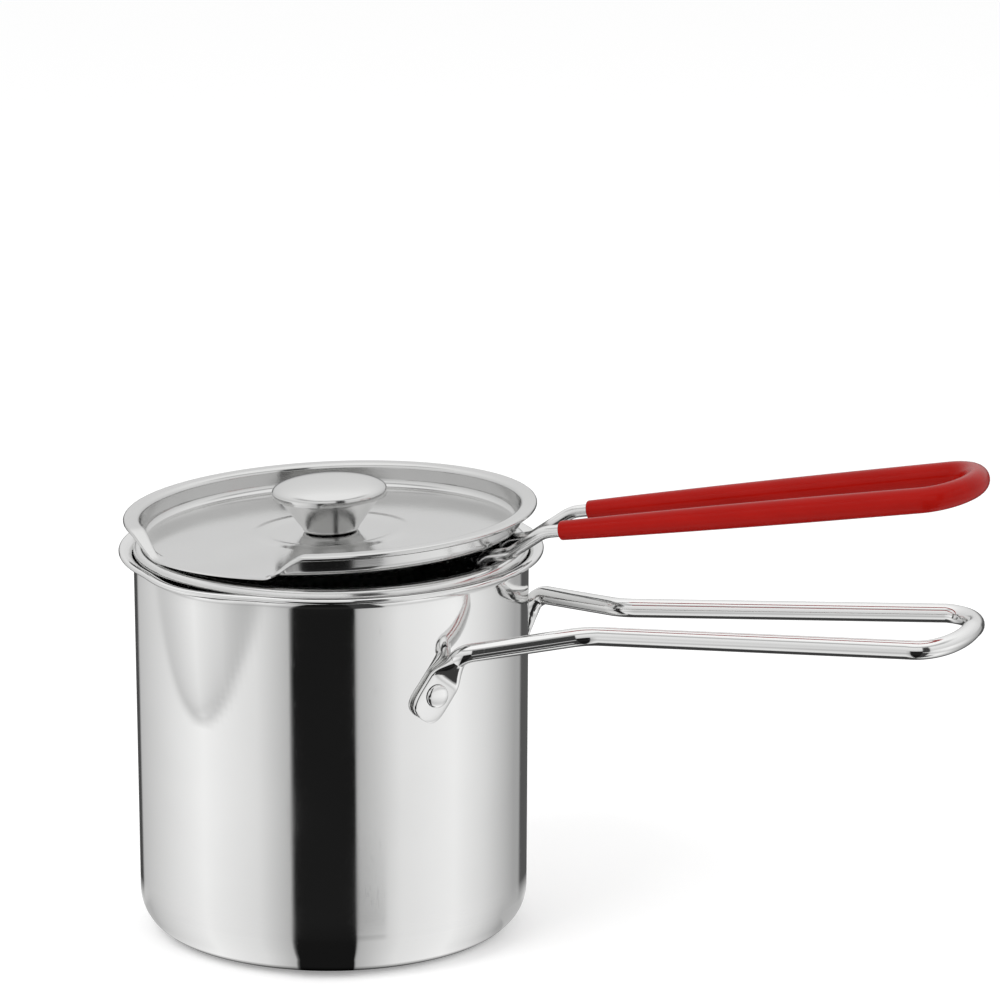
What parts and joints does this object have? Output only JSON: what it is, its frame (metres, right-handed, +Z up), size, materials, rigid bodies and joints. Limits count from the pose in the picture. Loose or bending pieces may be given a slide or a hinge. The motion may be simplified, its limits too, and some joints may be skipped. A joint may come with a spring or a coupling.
{
  "type": "deep fry pot with basket",
  "caption": "Deep steel pot with a pouring spout and a rod handle, a perforated lift-out basket with a sleeved wire handle, and a recessed lid with a knob.",
  "frame": {"origin": "middle of the pot's underside", "axes": "+Z up, +X along both handles, away from the pot"},
  "size_m": [0.3147, 0.1521, 0.1862],
  "materials": {
    "polished_steel": "mirror polished stainless steel",
    "satin_steel": "bright satin stainless steel",
    "zinc_steel": "zinc plated steel",
    "red_vinyl": "glossy dip-moulded vinyl"
  },
  "bodies": {
    "pot": {"pot_body": "polished_steel", "pot_handle": "polished_steel", "pot_rivet_front": "polished_steel", "pot_rivet_rear": "polished_steel"},
    "basket": {"basket_wall": "satin_steel", "basket_bottom": "satin_steel", "basket_handle_wire": "satin_steel", "basket_grip": "red_vinyl"},
    "lid": {"lid_pan": "polished_steel", "knob_cone": "polished_steel", "knob_cap": "polished_steel", "knob_nut": "zinc_steel", "knob_washer": "zinc_steel", "knob_screw": "zinc_steel"}
  },
  "joints": [
    {"name": "basket_lift", "type": "slide", "parent": "pot", "child": "basket", "axis": [0, 0, 1], "range_m": [0, 0.092]},
    {"name": "lid_lift", "type": "slide", "parent": "basket", "child": "lid", "axis": [0, 0, 1], "range_m": [0, 0.058]}
  ]
}
